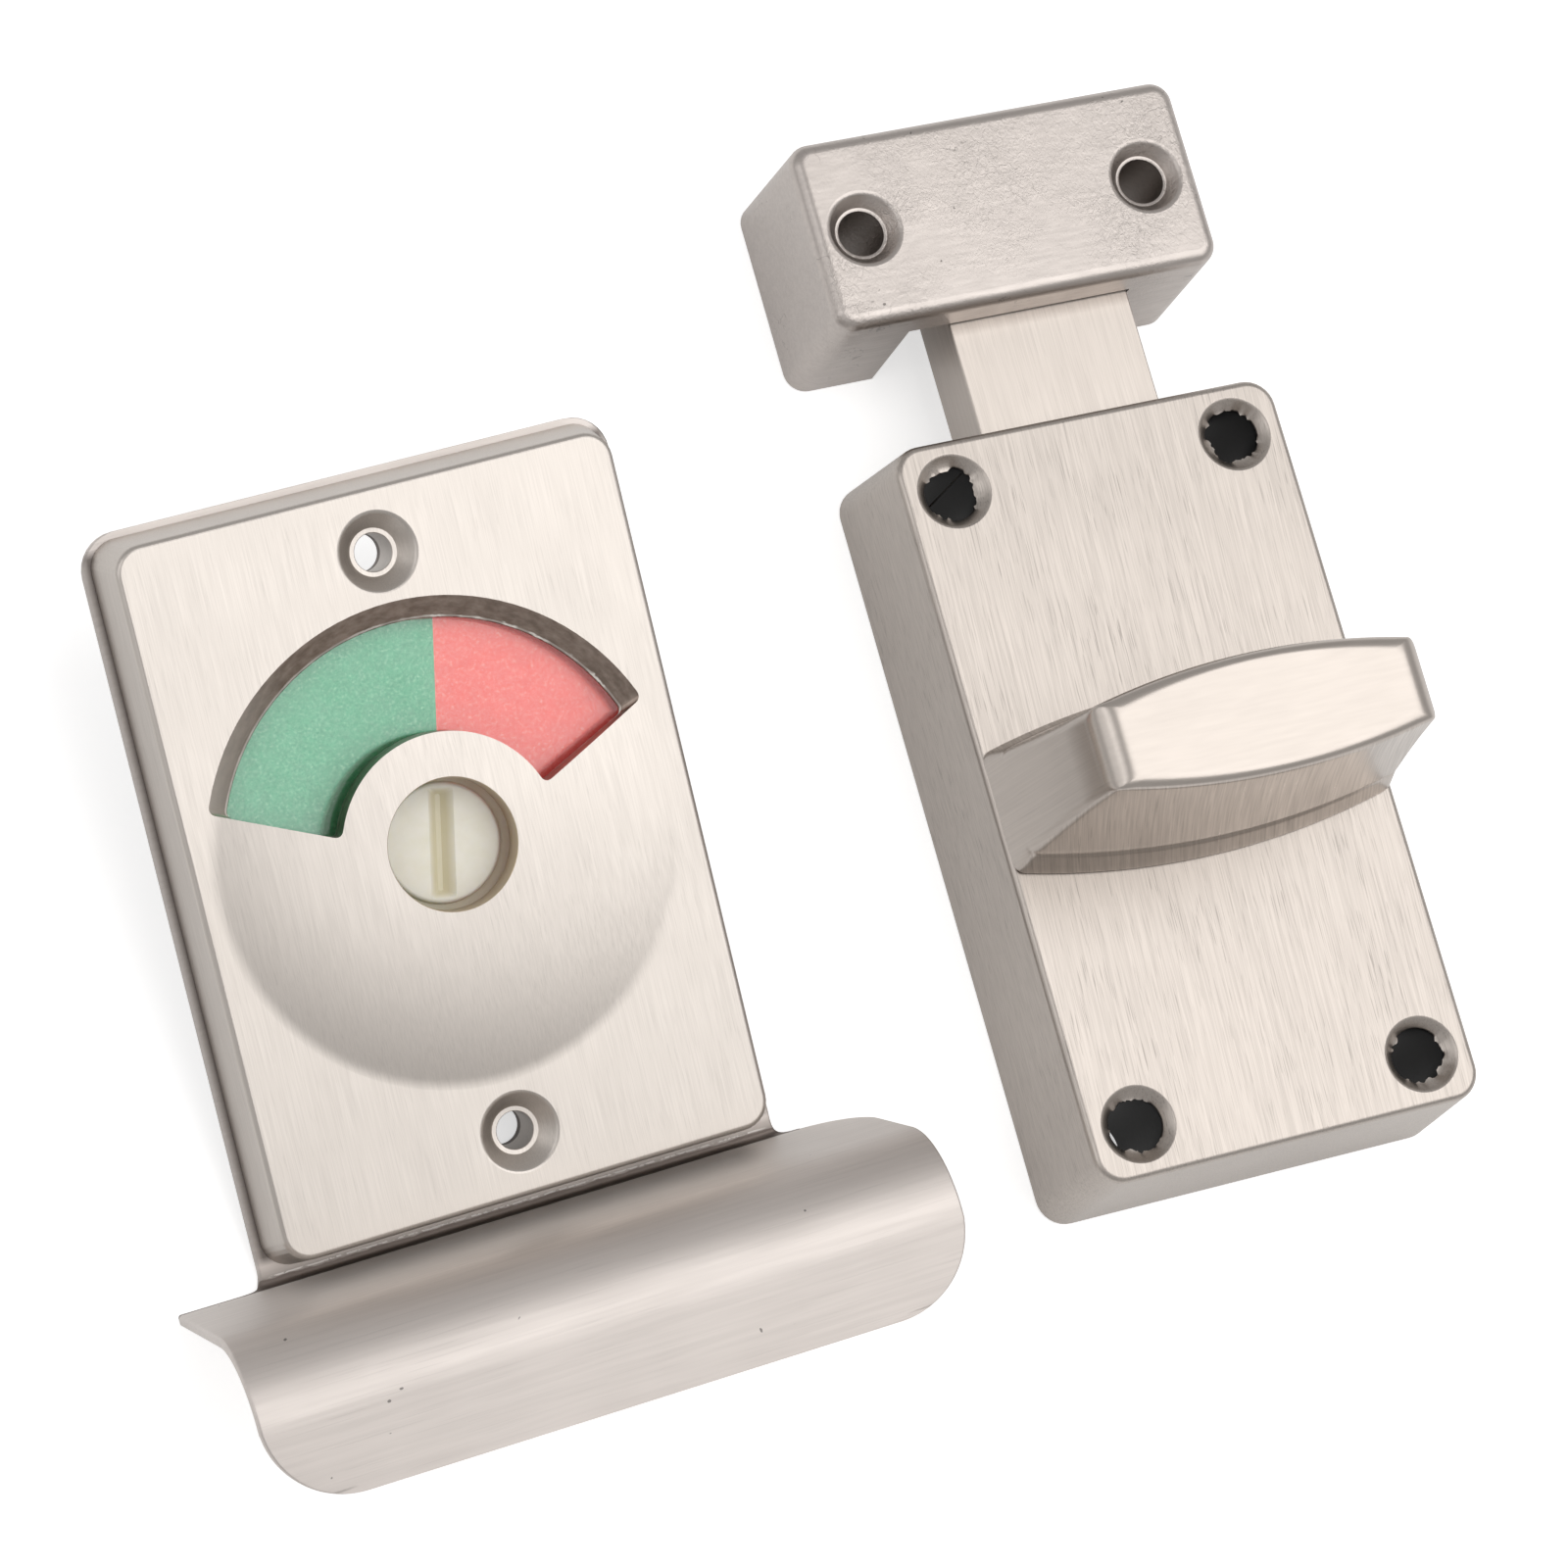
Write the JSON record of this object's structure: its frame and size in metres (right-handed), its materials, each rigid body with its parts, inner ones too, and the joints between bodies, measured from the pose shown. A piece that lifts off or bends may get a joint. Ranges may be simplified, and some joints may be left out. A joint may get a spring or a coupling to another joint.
{
  "type": "toilet indicator bolt",
  "caption": "Toilet indicator bolt: a case with a thumb turn and sliding bolt, its keeper, and a vacant/engaged indicator with a pull plate.",
  "frame": {"origin": "the point on the plane that the case is screwed to where the thumb turn's axis meets it, in the middle of the case's screws", "axes": "+Z out of the case's front, along the thumb turn's axis; +Y the way the bolt shoots, along the case's length; +X across the case, away from the indicator unit"},
  "size_m": [0.1402, 0.1287, 0.0438],
  "materials": {
    "satin_nickel_case": "satin nickel plating, brushed along the case",
    "satin_nickel_turn": "satin nickel plating, softly polished",
    "satin_nickel_bolt": "satin nickel plating, brushed along the bolt",
    "satin_nickel_keeper": "satin nickel plating, blasted and brushed",
    "satin_nickel_cover": "satin nickel plating, brushed along the cover",
    "stainless_sheet": "satin stainless sheet, brushed along the lip",
    "clear_acrylic": "clear, glossy, slightly hazy",
    "ivory_plastic": "satin moulded",
    "green": "fine speckled film",
    "red": "fine speckled film",
    "nylon": "moulded",
    "brass": "machined",
    "zinc_steel": "zinc plated",
    "spring_steel": "oiled spring steel",
    "tail_steel": "drawn steel"
  },
  "bodies": {
    "fixed": {"bolt_housing": "satin_nickel_case", "turn_bush": "nylon", "turn_wave_washer": "spring_steel", "guide_plate": "zinc_steel", "guide_screws": "zinc_steel", "keeper_block": "satin_nickel_keeper", "indicator_cover": "satin_nickel_cover", "window_lens": "clear_acrylic", "carrier_plate": "zinc_steel", "carrier_screws": "zinc_steel", "rear_bush": "brass", "bush_ring": "spring_steel", "friction_washer": "spring_steel", "handle_plate": "stainless_sheet"},
    "turn": {"thumb_turn": "satin_nickel_turn", "drive_pinion": "brass", "turn_clip": "spring_steel"},
    "bolt": {"sliding_bolt": "satin_nickel_bolt"},
    "indicator": {"indicator_disc": "ivory_plastic", "green_film": "green", "red_film": "red", "hub_clip": "spring_steel", "drive_tail": "tail_steel"}
  },
  "joints": [
    {"name": "turn_spin", "type": "hinge", "parent": "fixed", "child": "turn", "pos_m": [0, 0, 0.0182], "axis": [0, 0, 1], "range_deg": [-180, 0]},
    {"name": "bolt_slide", "type": "slide", "parent": "fixed", "child": "bolt", "axis": [0, 1, 0], "range_m": [-0.02042, 0]},
    {"name": "disc_spin", "type": "hinge", "parent": "fixed", "child": "indicator", "pos_m": [-0.0806, 0.0095, 0.01862], "axis": [0.0149, -0.2836, 0.9588], "range_deg": [-78, 102]}
  ],
  "couplings": [
    {"joint": "bolt_slide", "follows": "turn_spin", "m_per_rad": 0.0065}
  ]
}
